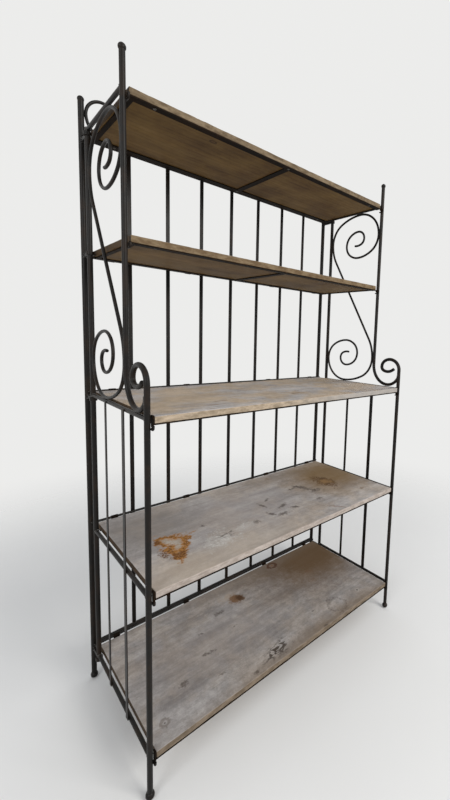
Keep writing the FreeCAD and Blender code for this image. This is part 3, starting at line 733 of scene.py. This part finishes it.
def screw_head(shape, centre, radius, height, turn):
    """One pan head under a bar, its crown downward, with the cross pressed into the crown."""
    cos, sin = math.cos(turn), math.sin(turn)
    rings = []
    for share, rise in HEAD_PROFILE:
        out = radius * share
        ring = []
        for step in range(HEAD_SEGMENTS):
            angle = 2 * math.pi * step / HEAD_SEGMENTS
            x, y = out * math.cos(angle), out * math.sin(angle)
            on_an_arm = min(abs(x), abs(y)) / radius < RECESS_WIDTH
            drop = RECESS_DEPTH * height if on_an_arm and share < RECESS_REACH else 0
            ring.append(shape.verts.new((
                centre.x + x * cos - y * sin,
                centre.y + x * sin + y * cos,
                centre.z - rise * height + drop)))
        rings.append(ring)
    for ring, following in zip(rings, rings[1:]):
        for place in range(HEAD_SEGMENTS):
            beside = (place + 1) % HEAD_SEGMENTS
            shape.faces.new((ring[place], following[place], following[beside], ring[beside]))
    shape.faces.new(rings[-1])
    shape.faces.new(list(reversed(rings[0])))


def bar_underside(number):
    """Height of the underside of the flat bars that carry a shelf's board."""
    low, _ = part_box(f"shelf_{number}_board")
    return low.z - FLAT_BAR


def add_screws(number, finish):
    """The six screws of a shelf, seen only as heads under its flat bars."""
    node = f"shelf_{number}_screws"
    rng = random.Random(SCREW_SEED + number)
    whole, parts = solids_of(node)
    shape = bmesh.new()
    for island in parts:
        lowest = min(vertex.co.z for vertex in island)
        low, high = box_of([vertex.co for vertex in island if vertex.co.z < lowest + HEAD_RIM])
        radius = (high.x - low.x) / 2
        height = bar_underside(number) - lowest
        centre = Vector(((low.x + high.x) / 2, (low.y + high.y) / 2, lowest + height))
        screw_head(shape, centre, radius, height, rng.uniform(0, math.pi))
    whole.free()
    bmesh.ops.recalc_face_normals(shape, faces=shape.faces)
    dress(mesh_object(f"screw_heads_{number}", shape), finish, f"shelf_{number}", "screw_steel", node)


# Welds: short chains of lumps where the solids of one body meet
CONTACT = 0.45 * MM
BEAD_SPACING = 2.6 * MM
BEAD_RADIUS, BEAD_SHARES, BEAD_SUBDIVISIONS = 1.9 * MM, (0.75, 1.1), 2
# How deep and how fine the lumps of a bead are, and how fast they change from bead to bead
LUMP_DEPTH, LUMP_DETAIL, LUMP_SPREAD = 0.22, 1.6, 400
WELDED_BODIES = ("back_frame", "left_side", "right_side")
UNWELDED = ("finial", "foot", "board", "screws")


def overlap(box, other, margin):
    """Whether two boxes come within a margin of each other."""
    (low, high), (other_low, other_high) = box, other
    return all(low[axis] - margin < other_high[axis] and other_low[axis] - margin < high[axis]
               for axis in range(3))


def welded_solids(body):
    """Every welded solid of a body: its points, its box and its tree of faces."""
    found = []
    for node, cad in frame["nodes"].items():
        if cad.parent is not frame["bodies"][body] or any(word in node for word in UNWELDED):
            continue
        whole, parts = solids_of(node)
        for island in parts:
            numbers = {vertex: place for place, vertex in enumerate(island)}
            faces = {face for vertex in island for face in vertex.link_faces}
            corners = [[numbers[vertex] for vertex in face.verts] for face in faces]
            points = [vertex.co.copy() for vertex in island]
            found.append((points, box_of(points), BVHTree.FromPolygons(points, corners)))
        whole.free()
    return found


def contact_points(solids):
    """Places where two solids touch, thinned to the spacing of the beads."""
    kept = []
    for place, (points, box, tree) in enumerate(solids):
        for other_points, other_box, other_tree in solids[place + 1:]:
            if not overlap(box, other_box, CONTACT):
                continue
            here = []
            for tried, surface in ((points, other_tree), (other_points, tree)):
                for point in tried:
                    touches = surface.find_nearest(point, CONTACT)[0] is not None
                    if touches and all((point - old).length > BEAD_SPACING for old in here):
                        here.append(point)
            kept += here
    return kept


def add_welds(body, finish):
    """One piece for all the weld metal of a body."""
    rng = random.Random(len(body))
    shape = bmesh.new()
    for point in contact_points(welded_solids(body)):
        radius = BEAD_RADIUS * rng.uniform(*BEAD_SHARES)
        bead = bmesh.ops.create_icosphere(shape, subdivisions=BEAD_SUBDIVISIONS, radius=radius)
        for vertex in bead["verts"]:
            ripple = noise.noise(vertex.co / BEAD_RADIUS * LUMP_DETAIL + point * LUMP_SPREAD)
            vertex.co = vertex.co * (1 + LUMP_DEPTH * ripple) + point
    dress(mesh_object(f"welds_{body}", shape), finish, body, "bronzed_iron")


def coat_bars():
    """Bronze-black on all the iron, duller on the flat bars under the shelves."""
    bronzed = iron_finish(
        "bronzed_iron", dark=(0.0070, 0.0060, 0.0052), warm=(0.015, 0.0095, 0.0060),
        bright=(0.050, 0.043, 0.036), sheen=0.26, gloss=0.18)
    dull = iron_finish(
        "dull_iron", dark=(0.0090, 0.0062, 0.0042), warm=(0.019, 0.011, 0.0062),
        bright=(0.036, 0.025, 0.017), sheen=0.48, gloss=0.03)
    for node, cad in frame["nodes"].items():
        cad.data.materials.clear()
        cad.data.materials.append(dull if node.endswith("_frame") else bronzed)


# Stage: the floor, the surround as it is seen and as it lights, and the lamps
SURROUND = (0.84, 0.84, 0.83, 1)
SKY_COLOUR, SKY_STRENGTH = (0.95, 0.97, 1.0, 1), 0.62
FLOOR_TONES = ((0.80, 0.798, 0.785), (0.83, 0.828, 0.818))
FLOOR_SEGMENTS = 96
FADE_FROM, FADE_TO = 0.9, 2.6
# Each lamp's name, place, target, size in metres, power in watts and colour
LAMPS = (
    ("key", (0.9, -3.9, 2.9), (0, 0, 0.8), 2.0, 120, (1.0, 0.98, 0.95)),
    ("side", (-3.4, -1.4, 2.2), (0, 0, 0.9), 1.6, 38, (0.96, 0.98, 1.0)))


def add_floor():
    """A wide pale floor that holds the shadow and fades into the surround further out."""
    floor = Finish("pale_floor")
    x, y, _ = floor.axes(floor.place)
    cloud = floor.noise(floor.place, 2.5, detail=2)
    floor.set(Base_Color=floor.mix(cloud, *FLOOR_TONES), Roughness=0.85)
    floor.set(Specular_IOR_Level=0.1)
    clear = floor.tree.nodes.new("ShaderNodeBsdfTransparent")
    blend = floor.tree.nodes.new("ShaderNodeMixShader")
    distance = (x * x + y * y) ** 0.5
    feed(floor.tree, blend.inputs[0], distance.step(FADE_FROM, FADE_TO))
    floor.tree.links.new(floor.shader.outputs[0], blend.inputs[1])
    floor.tree.links.new(clear.outputs[0], blend.inputs[2])
    floor.tree.links.new(blend.outputs[0], floor.tree.nodes["Material Output"].inputs["Surface"])
    shape = bmesh.new()
    bmesh.ops.create_circle(shape, cap_ends=True, segments=FLOOR_SEGMENTS, radius=FADE_TO)
    plane = mesh_object("floor", shape)
    plane.data.materials.append(floor.material)


def add_surround():
    """A plain pale surround to look at, and a softer one that lights the rack."""
    world = bpy.data.worlds.new("surround")
    bpy.context.scene.world = world
    world.use_nodes = True
    tree = world.node_tree
    path = tree.nodes.new("ShaderNodeLightPath")
    lighting = tree.nodes["Background"]
    lighting.inputs["Color"].default_value = SKY_COLOUR
    lighting.inputs["Strength"].default_value = SKY_STRENGTH
    shown = tree.nodes.new("ShaderNodeBackground")
    shown.inputs["Color"].default_value = SURROUND
    seen = Field(tree, path.outputs["Is Camera Ray"]).max(Field(tree, path.outputs["Is Transmission Ray"]))
    seen = seen.max(Field(tree, path.outputs["Is Glossy Ray"]))
    both = tree.nodes.new("ShaderNodeMixShader")
    feed(tree, both.inputs[0], seen)
    tree.links.new(lighting.outputs[0], both.inputs[1])
    tree.links.new(shown.outputs[0], both.inputs[2])
    tree.links.new(both.outputs[0], tree.nodes["World Output"].inputs["Surface"])


def add_lamp(name, place, target, size, power, colour):
    """A square soft lamp aimed at a point."""
    data = bpy.data.lights.new(name, "AREA")
    data.size = size
    data.energy = power
    data.color = colour
    lamp = bpy.data.objects.new(name, data)
    lamp.location = place
    lamp.rotation_euler = (Vector(target) - Vector(place)).to_track_quat("-Z", "Y").to_euler()
    bpy.context.scene.collection.objects.link(lamp)


add_camera()
coat_bars()
dull_zinc = screw_finish()
for number in SHELVES:
    add_board(number)
    add_screws(number, dull_zinc)
weld_metal = weld_finish()
for body in WELDED_BODIES:
    add_welds(body, weld_metal)
add_floor()
add_surround()
bpy.context.scene.view_settings.view_transform = "Standard"
for lamp in LAMPS:
    add_lamp(*lamp)
